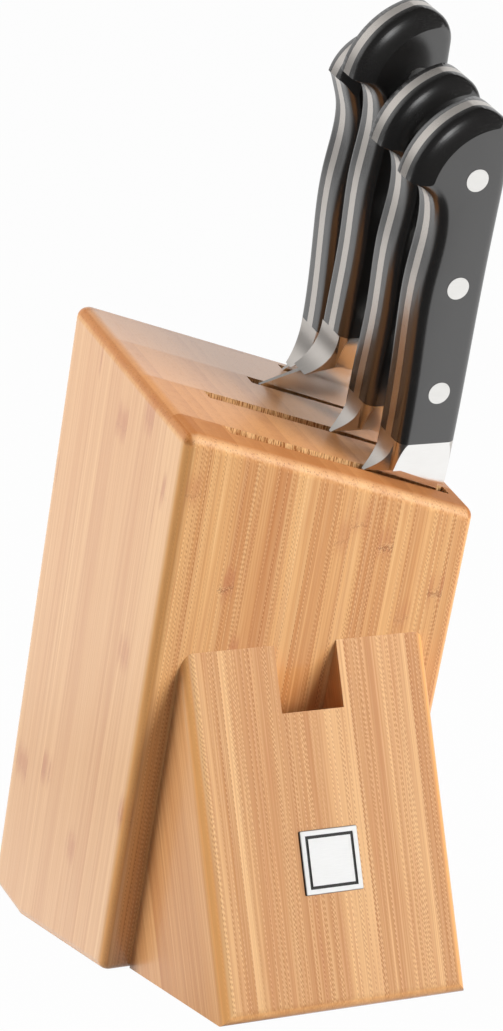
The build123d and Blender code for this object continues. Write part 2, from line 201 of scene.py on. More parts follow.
class Graph:
    """Node tree of one material or of the world."""

    def __init__(self, tree: bpy.types.NodeTree) -> None:
        """Start from an empty tree."""
        self.tree = tree
        tree.nodes.clear()

    def node(self, kind: str, settings: Settings = None, inputs: Inputs = None) -> bpy.types.Node:
        """Add a node of any type.

        Args:
            kind: Type name of the node.
            settings: Attributes that are set first.
            inputs: Values or links of its sockets, by name or number.

        Returns:
            The new node.
        """
        made = self.tree.nodes.new(kind)
        for name, setting in (settings or {}).items():
            setattr(made, name, setting)
        for key, content in (inputs or {}).items():
            if isinstance(content, Value):
                self.tree.links.new(content.socket, made.inputs[key])
            else:
                made.inputs[key].default_value = content
        return made

    def value(
        self,
        kind: str,
        settings: Settings = None,
        inputs: Inputs = None,
        output: Union[int, str] = 0,
    ) -> Value:
        """Add a node and take one of its outputs.

        Args:
            kind: Type name of the node.
            settings: Attributes that are set first.
            inputs: Values or links of its sockets.
            output: Name or number of the output.

        Returns:
            The output.
        """
        return Value(self, self.node(kind, settings, inputs).outputs[output])

    def place(self, tilt: float = 0.0, centre: Vector = Vector()) -> Value:
        """Place on the object in millimetres, turned about X from a centre.

        Args:
            tilt: Turn in degrees that stands the grain upright.
            centre: Point in millimetres that becomes zero.

        Returns:
            The turned place.
        """
        turn = Euler((math.radians(tilt), 0.0, 0.0))
        back = Vector(centre)
        back.rotate(turn)
        inputs = {
            "Vector": self.value("ShaderNodeTexCoord", None, None, "Object"),
            "Location": tuple(-back),
            "Rotation": tuple(turn),
            "Scale": (MM, MM, MM),
        }
        return self.value("ShaderNodeMapping", {"vector_type": "POINT"}, inputs)

    def facing(self, direction: Vector) -> Value:
        """How far the surface faces a direction, from -1 to 1."""
        normal = self.value("ShaderNodeTexCoord", None, None, "Normal")
        inputs = {0: normal, 1: tuple(direction)}
        return self.value("ShaderNodeVectorMath", {"operation": "DOT_PRODUCT"}, inputs, "Value")

    def rays(self) -> tuple[Value, Value, Value]:
        """Whether a ray comes from the camera, from gloss and through clear pieces."""
        path = self.node("ShaderNodeLightPath")
        kinds = ("Is Camera Ray", "Is Glossy Ray", "Is Transmission Ray")
        return tuple(Value(self, path.outputs[kind]) for kind in kinds)

    def split(self, vector: Value) -> tuple[Value, Value, Value]:
        """The three parts of a vector."""
        parts = self.node("ShaderNodeSeparateXYZ", None, {0: vector})
        return tuple(Value(self, socket) for socket in parts.outputs)

    def join(self, x: Number, y: Number, z: Number) -> Value:
        """A vector from three parts."""
        return self.value("ShaderNodeCombineXYZ", None, {0: x, 1: y, 2: z})

    def stretch(self, vector: Value, scale: Place, shift: float = 0.0) -> Value:
        """A place stretched along each axis and moved by a seed.

        Args:
            vector: The place.
            scale: Factor along each axis.
            shift: Move along all axes, which picks another part of a pattern.

        Returns:
            The stretched place.
        """
        inputs = {0: vector, 1: scale, 2: (shift, shift, shift)}
        return self.value("ShaderNodeVectorMath", {"operation": "MULTIPLY_ADD"}, inputs)

    def noise(self, vector: Value, detail: float = 2.0, rough: float = 0.5) -> Value:
        """Cloudy noise around one half."""
        inputs = {"Vector": vector, "Scale": 1.0, "Detail": detail, "Roughness": rough}
        return self.value("ShaderNodeTexNoise", {"noise_dimensions": "3D"}, inputs)

    def cells(self, vector: Value) -> Value:
        """Distance to the nearest of scattered points."""
        settings = {"voronoi_dimensions": "3D", "feature": "F1"}
        inputs = {"Vector": vector, "Scale": 1.0}
        return self.value("ShaderNodeTexVoronoi", settings, inputs, "Distance")

    def chance(self, vector: Value) -> tuple[Value, Value, Value]:
        """Three random values for each different vector."""
        settings = {"noise_dimensions": "3D"}
        colour = self.value("ShaderNodeTexWhiteNoise", settings, {"Vector": vector}, "Color")
        parts = self.node("ShaderNodeSeparateColor", None, {0: colour})
        return tuple(Value(self, socket) for socket in parts.outputs)

    def mix(self, share: Number, first: Any, second: Any) -> Value:
        """Mix two colours.

        Args:
            share: Share of the second colour.
            first: Colour or link.
            second: Colour or link.

        Returns:
            The mixed colour.
        """
        settings = {"data_type": "RGBA", "blend_type": "MIX", "clamp_factor": True}
        return self.value("ShaderNodeMix", settings, {0: share, 6: first, 7: second}, 2)

    def bump(self, height: Value, distance: float, strength: float) -> Value:
        """Normal from a height.

        Args:
            height: Height field.
            distance: Height of one unit, in metres.
            strength: How far the bump counts.

        Returns:
            The bumped normal.
        """
        inputs = {"Strength": strength, "Distance": distance, "Height": height}
        return self.value("ShaderNodeBump", None, inputs, "Normal")

    def surface(self, **sockets: Any) -> None:
        """Close the tree with a Principled shader; names use _ for blanks."""
        inputs = {name.replace("_", " "): content for name, content in sockets.items()}
        shader = self.value("ShaderNodeBsdfPrincipled", None, inputs)
        self.node("ShaderNodeOutputMaterial", None, {"Surface": shader})


def new_graph(name: str) -> tuple[bpy.types.Material, Graph]:
    """Start a material.

    Args:
        name: Name of the material.

    Returns:
        The material and its empty graph.
    """
    material = bpy.data.materials.new(name)
    material.use_nodes = True
    return material, Graph(material.node_tree)


def dress(node: str, material: bpy.types.Material) -> None:
    """Give a node of the frame its material.

    Args:
        node: Name of the node.
        material: Material for all its slots.
    """
    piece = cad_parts[node]
    if not piece.material_slots:
        piece.data.materials.append(material)
    for slot in piece.material_slots:
        slot.material = material
    log.info("dressed %s in %s", node, material.name)


class Axes(Enum):
    """Direction of the grain: turn about X in degrees, and where the face of the wood starts."""

    BLOCK = (-LEAN, FRONT_FOOT)
    FOOT = (SLOPE, FOOT_APEX)

    @property
    def tilt(self) -> float:
        """Turn that stands the grain upright."""
        return self.value[0]

    @property
    def start(self) -> Vector:
        """Point on the front face."""
        return self.value[1]

    @property
    def grain(self) -> Vector:
        """Direction of the grain."""
        return self.turned(Vector((0.0, 0.0, 1.0)))

    @property
    def front(self) -> Vector:
        """Direction across the boards."""
        return self.turned(Vector((0.0, 1.0, 0.0)))

    def turned(self, direction: Vector) -> Vector:
        """A direction of the upright wood as it stands on the object."""
        direction.rotate(Euler((-math.radians(self.tilt), 0.0, 0.0)))
        return direction


class Pattern(Enum):
    """Patterns in the wood, stretched along the grain."""

    SWAY = (0.04, 0.005)
    CLOUDS = (0.4, 0.02, 0.0, 3.0)
    BANDS = (0.8, 0.004, 3.0)
    STREAKS = (2.4, 0.006, 7.0)
    HAIRS = (1.5, 0.008, 11.0, 4.0, 0.75)
    LINES = (5.0, 0.03, 0.0, 3.0, 0.6)
    WANDER = (0.3, 0.07, 1.0)
    PATCHES = (0.5, 0.015, 5.0)
    RIPPLE = (0.9, 0.3, 4.0, 3.0)
    CRACKS = (2.6, 1.6, 6.0, 3.0, 0.7)
    BURRS = (3.2, 0.25, 8.0, 3.0, 0.6)
    PORES = (1.3, 0.02)
    DOTS = (1.2, 0.7)

    def __init__(
        self,
        across: float,
        along: float,
        seed_step: float = 0.0,
        detail: float = 2.0,
        rough: float = 0.5,
    ) -> None:
        """Keep the sizes of the pattern.

        Args:
            across: Factor across the grain, to one millimetre.
            along: Factor along the grain.
            seed_step: Step from the wood's own seed.
            detail: Finer layers of a noise.
            rough: Share of the finer layers.
        """
        self.scale = (across, across, along)
        self.seed_step = seed_step
        self.detail = detail
        self.rough = rough


@dataclass(frozen=True)
class Bamboo:
    """Glued bamboo strips with twisted fibre rows, pores in the ends and nodes; sizes in mm.

    A span is where a smooth step starts and ends, and the relief is in metres.
    """

    name: str
    axes: Axes
    seed: float
    strip_width: float = 5.5
    layer: float = 8.6
    layer_start: float = 0.0
    sawn: float = 0.0
    # Tone shift of the end grain, used as painted light and shade.
    painted_end_light_shift: float = 0.0
    pale: Colour = srgb(236, 182, 120)
    deep: Colour = srgb(194, 126, 70)
    blush: Colour = srgb(190, 118, 74)
    fibre: Colour = srgb(146, 82, 36)
    fleck: Colour = srgb(252, 216, 160)
    # The sides' colours are paler than the front's, partly for their smoother grain and partly as
    # painted sheen.
    side_pale: Colour = srgb(232, 184, 130)
    side_deep: Colour = srgb(208, 148, 96)
    ends: Colour = srgb(214, 150, 92)
    ends_deep: Colour = srgb(178, 110, 56)
    pore: Colour = srgb(112, 62, 26)
    # Edge colours: the first darkens the top side edges as painted shade and also colours the dark
    # streaks and slot walls; the second is painted sheen on the top front edges; the third is
    # painted light on the upright and lower edges.
    streak_and_painted_edge_shade: Colour = srgb(182, 112, 52)
    painted_front_edge_sheen: Colour = srgb(234, 190, 146)
    painted_long_edge_light: Colour = srgb(244, 176, 104)
    side_step: Span = (0.7, 0.9)
    end_step: Span = (0.72, 0.9)
    square_step: Span = (0.86, 0.985)
    sway: float = 1.2
    rows: float = 1.75
    twist: float = 0.58
    wander: float = 3.0
    fibre_share: float = 0.44
    glint_share: float = 0.36
    node_spread: float = 230.0
    node_ripple: float = 6.0
    node_crease: Span = (0.15, 0.8)
    node_near: Span = (0.4, 3.0)
    node_halo: Span = (1.0, 9.0)
    pore_size: Span = (0.1, 0.32)
    dot_size: Span = (0.12, 0.34)
    fringe: Span = (0.6, 4.0)
    side_share: float = 0.8
    end_share: float = 0.95
    wall_share: float = 0.9
    relief: float = 0.00005
    relief_share: float = 0.7
    roughness: float = 0.34
    end_rough: float = 0.0
    front_coat: float = 0.3
    side_coat: float = 0.9
    end_coat: float = 0.8
    coat_roughness: float = 0.16
    index: float = 1.5

    def make(self) -> bpy.types.Material:
        """Make the material.

        Returns:
            The bamboo.
        """
        material, g = new_graph(self.name)
        layers = BambooLayers(self, g)
        wood = layers.strips()
        wood = layers.fibres(wood)
        wood = layers.nodes(wood)
        wood = layers.sides(wood)
        wood = layers.ends(wood)
        wood = layers.slot_walls(wood)
        wood = layers.edges(wood)
        g.surface(
            Base_Color=wood,
            Roughness=layers.roughness(),
            Normal=g.bump(layers.height(), self.relief, self.relief_share),
            IOR=self.index,
            Coat_Weight=layers.gloss(),
            Coat_Roughness=self.coat_roughness,
            Coat_IOR=self.index,
        )
        return material


class BambooLayers:
    """Layers of one bamboo finish, each mixed over the wood below it."""

    def __init__(self, finish: Bamboo, g: Graph) -> None:
        """Find which strip the surface lies in, which way it faces, and its fine grain.

        Args:
            finish: Sizes and colours of the bamboo.
            g: Graph of its material.
        """
        self.finish = finish
        self.g = g
        self.spot = g.place(finish.axes.tilt, finish.axes.start)
        self.x, self.depth, self.along = g.split(self.spot)
        self.facing_side = abs(g.facing(ACROSS))
        self.facing_front = abs(g.facing(finish.axes.front))
        self.upward = g.facing(finish.axes.grain)
        facing_end = abs(self.upward)
        self.side = self.facing_side.rise(*finish.side_step)
        self.end = facing_end.rise(*finish.end_step)
        square = self.facing_side.most(facing_end).most(self.facing_front)
        self.rim = 1.0 - square.rise(*finish.square_step)

        self.sway = self.noise(Pattern.SWAY).swing(finish.sway)
        self.across = (self.x + self.sway) / finish.strip_width + finish.seed
        self.inside = (self.depth - finish.layer_start) / finish.layer + finish.seed * 3.0
        strip = g.join(self.across.floor(), self.inside.floor(), finish.seed)
        tone, node_place, turned = g.chance(strip)
        self.skin = abs(self.across.fraction() - turned.rise(0.49, 0.51))

        self.clouds = self.noise(Pattern.CLOUDS)
        self.hairs = self.noise(Pattern.HAIRS)
        self.lines = self.noise(Pattern.LINES)
        self.pores = self.specks(Pattern.PORES, *finish.pore_size)
        shade = tone * 0.6 + self.noise(Pattern.BANDS).swing(0.9) + self.skin * 0.25 + 0.07
        self.shade = shade.rise(0.0, 1.0)
        self.dark, self.light = self.strokes()

        ripple = self.noise(Pattern.RIPPLE).swing(finish.node_ripple)
        self.from_node = self.along + ripple - node_place * finish.node_spread
        self.has_node = ((turned * 7.0).fraction() * 0.8 + 0.2) * (1.0 - self.end)
        self.crack = self.noise(Pattern.CRACKS)
        self.near = 1.0 - abs(self.from_node).rise(*finish.node_near)
        self.halo = 1.0 - abs(self.from_node - 2.0).rise(*finish.node_halo)
        self.halo = self.halo * self.clouds.rise(0.36, 0.56)

    def stretched(self, pattern: Pattern) -> Value:
        """Place of the surface on a pattern."""
        return self.g.stretch(self.spot, pattern.scale, self.finish.seed + pattern.seed_step)

    def noise(self, pattern: Pattern) -> Value:
        """Noise of a pattern, around one half."""
        return self.g.noise(self.stretched(pattern), pattern.detail, pattern.rough)

    def specks(self, pattern: Pattern, core: float, reach: float) -> Value:
        """Scattered specks of a pattern.

        Args:
            pattern: How the specks are spread.
            core: Distance to which a speck is full.
            reach: Distance at which it ends.

        Returns:
            1 in a speck and 0 between them.
        """
        return 1.0 - self.g.cells(self.stretched(pattern)).rise(core, reach)

    def strokes(self) -> tuple[Value, Value]:
        """Strokes of the fibre rows, which twist like a rope.

        Returns:
            The dark strokes and the light ones.
        """
        g, finish = self.g, self.finish
        lateral = self.x + self.sway + (self.depth - self.x) * self.side
        row = lateral * finish.rows + finish.seed
        phase, force, _ = g.chance(g.join(row.floor(), self.inside.floor(), finish.seed + 2.0))
        wander = self.noise(Pattern.WANDER) * finish.wander
        turn = self.along * finish.twist + row.fraction() * 0.55
        stroke = (turn + phase * 9.0 + wander).wave()
        patches = self.noise(Pattern.PATCHES).swing(1.2)
        thread = 1.0 - abs(row.fraction() - 0.5).rise(0.12, 0.42)
        rope = (force * 0.85 + self.skin * 0.45 + patches - 0.62).rise(0.0, 0.45)
        rope = rope * thread * (1.0 - self.side * 0.86)
        return stroke.rise(-0.1, 0.9) * rope, (0.0 - stroke).rise(0.1, 0.95) * rope

    def strips(self) -> Value:
        """Colour of the strips with their blushes, hairs and streaks."""
        g, finish = self.g, self.finish
        streaks = self.noise(Pattern.STREAKS)
        wood = g.mix(self.shade, finish.pale, finish.deep)
        wood = g.mix((self.clouds - 0.46).rise(0.0, 0.3) * 0.3, wood, finish.blush)
        wood = g.mix((self.lines - 0.4) * 0.8, wood, finish.deep)
        wood = g.mix((self.hairs - 0.48) * 1.6, wood, finish.deep)
        wood = g.mix((0.52 - self.hairs) * 1.4, wood, finish.fleck)
        dark_streaks = streaks.rise(0.6, 0.74) * (1.0 - self.side * 0.7)
        pale_streaks = 1.0 - streaks.rise(0.28, 0.4)
        wood = g.mix(dark_streaks * 0.4, wood, finish.streak_and_painted_edge_shade)
        return g.mix(pale_streaks * 0.25, wood, finish.fleck)

    def fibres(self, wood: Value) -> Value:
        """The wood with its fibre rows."""
        wood = self.g.mix(self.dark * self.finish.fibre_share, wood, self.finish.fibre)
        return self.g.mix(self.light * self.finish.glint_share, wood, self.finish.fleck)

    def nodes(self, wood: Value) -> Value:
        """The wood with the nodes of its strips: a halo, a crease and cracked fibres."""
        g, finish = self.g, self.finish
        crease = 1.0 - abs(self.from_node).rise(*finish.node_crease)
        cracked = self.near * self.has_node
        wood = g.mix(self.halo * (self.has_node * 0.6 + 0.2), wood, finish.blush)
        wood = g.mix(crease * self.has_node * 0.6, wood, finish.fibre)
        wood = g.mix(cracked * self.crack.rise(0.5, 0.66) * 0.7, wood, finish.fibre)
        return g.mix(cracked * (1.0 - self.crack.rise(0.36, 0.5)) * 0.6, wood, finish.fleck)

    def sides(self, wood: Value) -> Value:
        """The wood with its smoother left and right sides, paler partly as painted sheen."""
        g, finish = self.g, self.finish
        shade = self.shade * 0.8 + self.lines.swing(0.5)
        smooth = g.mix(shade, finish.side_pale, finish.side_deep)
        smooth = g.mix((self.hairs - 0.48) * 1.6, smooth, finish.side_deep)
        smooth = g.mix((0.52 - self.hairs) * 1.6, smooth, finish.fleck)
        smooth = g.mix(self.halo * (self.has_node * 0.5 + 0.3), smooth, finish.blush)
        return g.mix(self.side * finish.side_share, wood, smooth)

    def ends(self, wood: Value) -> Value:
        """The wood with its cut ends, which show the pores, their tone shifted by painted light
        and shade.
        """
        g, finish = self.g, self.finish
        tone, _, _ = g.chance(g.join(self.across.floor(), finish.seed, finish.seed + 9.0))
        shade = tone * 0.55 + self.clouds.swing(0.5)
        # The board's shift is painted light and shade on the end grain.
        shade = shade + self.across.fraction() * 0.25 + finish.painted_end_light_shift
        cut = g.mix(shade.rise(0.0, 1.1), finish.ends, finish.ends_deep)
        cut = g.mix(self.pores * 0.25, cut, finish.pore)
        return g.mix(self.end * finish.end_share, wood, cut)

    def slot_walls(self, wood: Value) -> Value:
        """The wood with its sawn front, brown partly as torn fibre and partly as painted shade in
        the slot, torn to a pale fringe at the mouth of the slot.
        """
        g, finish = self.g, self.finish
        below = TOP_HEIGHT - TOP_FALL * self.x - self.along
        foremost = 1.0 - (self.depth - finish.layer_start).rise(0.1, 0.4)
        wall = self.facing_front.rise(0.9, 0.98) * foremost * finish.sawn
        # Dark brown wall with darker burrs: partly torn fibre, partly painted shade inside the
        # slot.
        burr = self.noise(Pattern.BURRS)
        torn_and_painted_shade = g.mix(burr.rise(0.4, 0.7) * 0.7, finish.streak_and_painted_edge_shade, finish.pore)
        fringe = (1.0 - below.rise(*finish.fringe)) * (1.0 - burr.rise(0.42, 0.58))
        torn_and_painted_shade = g.mix(fringe * 0.8, torn_and_painted_shade, finish.fleck)
        return g.mix(wall * finish.wall_share, wood, torn_and_painted_shade)

    def edges(self, wood: Value) -> Value:
        """The wood with its rounded edges in painted light and shade, dotted with pores at the
        top.
        """
        g, finish = self.g, self.finish
        top_edge = self.upward.rise(0.05, 0.3)
        side_edge = self.facing_side.rise(0.15, 0.45)
        edge = g.mix(side_edge, finish.painted_front_edge_sheen, finish.streak_and_painted_edge_shade)
        edge = g.mix(top_edge, finish.painted_long_edge_light, edge)
        # Painted light on the rounded edges: shade on the top side edges, sheen on the top front
        # edges, light on the upright and lower edges.
        wood = g.mix(self.rim * (side_edge * 0.35 + 0.4), wood, edge)
        dots = self.specks(Pattern.DOTS, *finish.dot_size)
        return g.mix(self.rim * dots * top_edge * 0.55, wood, finish.fibre)

    def height(self) -> Value:
        """Height of the grain: lines, fibres and cracks along it, and pores in the ends."""
        cracks = self.near * self.has_node * self.crack
        height = self.lines * 0.4 - self.dark * 0.7 + self.light * 0.3 - cracks
        return height * (1.0 - self.end) - self.pores * self.end * 0.2

    def roughness(self) -> Value:
        """Roughness, with the lines of the grain in it."""
        grain = self.lines.swing(0.25) * (1.0 - self.end)
        return grain + self.dark * 0.1 + self.end * self.finish.end_rough + self.finish.roughness

    def gloss(self) -> Value:
        """Weight of the lacquer, which is thin on the edges."""
        finish = self.finish
        side = self.side * (finish.side_coat - finish.front_coat)
        end = self.end * (finish.end_coat - finish.front_coat)
        return (1.0 - self.rim * 0.7) * (side + end + finish.front_coat)


@dataclass(frozen=True)
class Steel:
    """Ground stainless steel: flats painted bright and satin curves painted dim as painted
    reflection, with fine grinding lines.
    """

    name: str
    tint: Colour = srgb(250, 249, 247)
    shade: Colour = srgb(236, 233, 229)
    satin_painted_dim: Colour = srgb(192, 185, 178)
    lines: Place = (0.12, 9.0, 9.0)
    clouds: Place = (0.12, 0.12, 0.12)
    flat_step: Span = (0.9, 0.985)
    flat_roughness: float = 0.14
    satin_roughness: float = 0.3
    relief: float = 0.000004
    relief_share: float = 0.7

    def make(self) -> bpy.types.Material:
        """Make the material.

        Returns:
            The steel.
        """
        material, g = new_graph(self.name)
        spot = g.place(Axes.BLOCK.tilt, Axes.BLOCK.start)
        lines = g.noise(g.stretch(spot, self.lines), 3.0, 0.65)
        clouds = g.noise(g.stretch(spot, self.clouds), 3.0)
        flat = abs(g.facing(Axes.BLOCK.front)).rise(*self.flat_step)
        # Flats painted bright and curves painted dim by which way they face: painted reflection,
        # with the roughness changing too.
        bright = g.mix(lines * 0.7 + clouds * 0.5 - 0.35, self.tint, self.shade)
        dull = g.mix(lines * 0.6 - 0.1, self.satin_painted_dim, self.shade)
        rough = flat * (self.flat_roughness - self.satin_roughness) + self.satin_roughness
        g.surface(
            Base_Color=g.mix(flat, dull, bright),
            Metallic=1.0,
            Roughness=lines.swing(0.2) + clouds.swing(0.1) + rough,
            Normal=g.bump(lines, self.relief, self.relief_share),
        )
        return material


@dataclass(frozen=True)
class PlateSteel:
    """Bright pressed plate with a dark line in the bottom of its frame groove."""

    name: str
    bright: Colour = srgb(240, 240, 239)
    brushed: Colour = srgb(222, 222, 221)
    dark: Colour = srgb(62, 61, 60)
    lines: Place = (0.25, 9.0, 9.0)
    groove: Span = (-0.68, -0.49)
    metal: float = 0.2
    roughness: float = 0.36
    relief: float = 0.000005
    relief_share: float = 0.6

    def make(self) -> bpy.types.Material:
        """Make the material.

        Returns:
            The plate's steel.
        """
        material, g = new_graph(self.name)
        spot = g.place(Axes.FOOT.tilt, Axes.FOOT.start)
        _, depth, _ = g.split(spot)
        lines = g.noise(g.stretch(spot, self.lines), 3.0, 0.65)
        sunk = depth.rise(*self.groove)
        g.surface(
            Base_Color=g.mix(sunk, g.mix(lines, self.bright, self.brushed), self.dark),
            Metallic=self.metal,
            Roughness=lines.swing(0.2) + sunk * 0.2 + self.roughness,
            Normal=g.bump(lines, self.relief, self.relief_share),
        )
        return material


@dataclass(frozen=True)
class BlackScale:
    """Moulded black handle: flats and rounded edges of much the same gloss, the edges a little
    rougher.
    """

    name: str
    base: Colour = (0.010, 0.0095, 0.009, 1.0)
    worn: Colour = (0.018, 0.017, 0.0165, 1.0)
    specks: Place = (7.0, 7.0, 7.0)
    clouds: Place = (0.09, 0.09, 0.05)
    flat_step: Span = (0.97, 0.999)
    flat_roughness: float = 0.24
    round_roughness: float = 0.26
    relief: float = 0.000004
    relief_share: float = 0.5
    index: float = 2.05

    def make(self) -> bpy.types.Material:
        """Make the material.

        Returns:
            The black plastic.
        """
        material, g = new_graph(self.name)
        spot = g.place(Axes.BLOCK.tilt, Axes.BLOCK.start)
        specks = g.noise(g.stretch(spot, self.specks), 2.0)
        clouds = g.noise(g.stretch(spot, self.clouds), 3.0)
        flat = abs(g.facing(INWARD)).rise(*self.flat_step)
        rough = flat * (self.flat_roughness - self.round_roughness) + self.round_roughness
        g.surface(
            Base_Color=g.mix(clouds * 0.6 + specks.swing(0.4), self.base, self.worn),
            Roughness=rough + clouds.swing(0.06) + specks.swing(0.05),
            Normal=g.bump(specks, self.relief, self.relief_share),
            IOR=self.index,
        )
        return material


@dataclass(frozen=True)
class Plain:
    """Even material with fine mottling, for pieces that hardly show."""

    name: str
    first: Colour
    second: Colour
    roughness: float
    mottling: Place = (1.6, 1.6, 1.6)
    relief: float = 0.00003
    relief_share: float = 0.6

    def make(self) -> bpy.types.Material:
        """Make the material.

        Returns:
            The mottled material.
        """
        material, g = new_graph(self.name)
        spot = g.place(Axes.BLOCK.tilt, Axes.BLOCK.start)
        mottle = g.noise(g.stretch(spot, self.mottling), 3.0)
        g.surface(
            Base_Color=g.mix(mottle, self.first, self.second),
            Roughness=mottle.swing(0.2) + self.roughness,
            Normal=g.bump(mottle, self.relief, self.relief_share),
        )
        return material


@dataclass
class WoodBlock:
    """The five glued boards, counted from the front, with the wedge foot; sizes in mm."""

    boards: tuple[str, ...] = (
        "front_board",
        "second_board",
        "third_board",
        "fourth_board",
        "back_board",
    )
    backs: tuple[float, ...] = (0.0, 15.3, 41.5, 66.8, 87.6, 93.0)
    layers: tuple[int, ...] = (2, 3, 3, 2, 1)
    # Tone shifts of each board's end grain: the front board's top deeper as painted shade, the
    # third and fourth paler as painted light against the handles' shadows.
    painted_end_light_shifts: tuple[float, ...] = (0.5, 0.0, -0.3, -0.4, 0.0)
    end_coats: tuple[float, ...] = (0.0, 0.1, 0.6, 1.0, 0.9)
    end_roughs: tuple[float, ...] = (0.25, 0.06, 0.0, 0.0, 0.0)
    first_seed: float = 0.37
    seed_step: float = 7.31
    foot_seed: float = 51.6

    def dress_boards(self) -> None:
        """Dress each board in its own strips."""
        for index, board in enumerate(self.boards):
            thickness = self.backs[index + 1] - self.backs[index]
            finish = Bamboo(
                "bamboo_" + board,
                Axes.BLOCK,
                seed=self.first_seed + self.seed_step * index,
                layer=thickness / self.layers[index],
                layer_start=self.backs[index],
                sawn=min(1.0, float(index)),
                painted_end_light_shift=self.painted_end_light_shifts[index],
                end_coat=self.end_coats[index],
                end_rough=self.end_roughs[index],
            )
            dress(board, finish.make())

    def dress_foot(self) -> None:
        """Dress the foot, its dowels, its plate and the pads."""
        foot = Bamboo(
            "bamboo_foot",
            Axes.FOOT,
            seed=self.foot_seed,
            strip_width=5.6,
            layer=9.0,
            # The foot's pale and deep are darker than the block's as painted shade, for its front
            # faces the lamps more.
            pale=srgb(223, 175, 122),
            deep=srgb(186, 127, 78),
            side_pale=srgb(214, 154, 98),
            side_deep=srgb(188, 122, 70),
            side_coat=0.3,
        )
        beech = Plain("beech", srgb(214, 180, 136), srgb(190, 150, 104), roughness=0.6)
        rubber = Plain("rubber", srgb(34, 34, 35), srgb(20, 20, 21), roughness=0.7)
        dress("prop_foot", foot.make())
        dress("foot_dowels", beech.make())
        dress("rubber_feet", rubber.make())
        dress("badge_plate", PlateSteel("plate_steel").make())


@dataclass(frozen=True)
class Dome:
    """Section of a round butt in mm: half its thickness by the distance from the arc's centre."""

    rim: float
    flat: float = 8.3
    tang: float = 1.9
    inset: float = 6.5
    hollow_depth: float = 1.5
    shoulder: float = 1.0
    sweep: float = 45.0
    edge_round: float = 3.6

    def hollow_reach(self, half: np.ndarray) -> np.ndarray:
        """Distance of the node's hollow section from the butt's centre.

        Args:
            half: Distances from the middle of the handle.

        Returns:
            The distances at which the hollow has these heights.
        """
        rise = self.flat - self.tang
        chord = math.hypot(self.inset, rise)
        bend = (chord**2 / 4.0 + self.hollow_depth**2) / (2.0 * self.hollow_depth)
        shift = (bend - self.hollow_depth) / chord
        off = half - (self.flat + self.tang) / 2.0 - self.inset * shift
        level = np.clip(bend**2 - off**2, 0.0, None)
        return self.rim - self.inset / 2.0 + rise * shift - np.sqrt(level)

    def height(self, away: np.ndarray, inside: np.ndarray) -> np.ndarray:
        """Half the thickness of the domed handle.

        Args:
            away: Distances from the butt's centre.
            inside: Distances from the handle's outline.

        Returns:
            The lower of the dome, part of an ellipse, and the rounded edge.
        """
        sweep = math.radians(self.sweep)
        long = self.inset / (1.0 - math.cos(sweep))
        tall = (self.flat - self.tang - self.shoulder) / math.sin(sweep)
        drop = np.clip(self.rim - away, 0.0, self.inset)
        dome = self.tang + self.shoulder + tall * np.sqrt(1.0 - (1.0 - drop / long) ** 2)
        short = np.clip(self.edge_round - inside, 0.0, self.edge_round)
        edge = self.flat - self.edge_round + np.sqrt(self.edge_round**2 - short**2)
        return np.minimum(dome, edge)


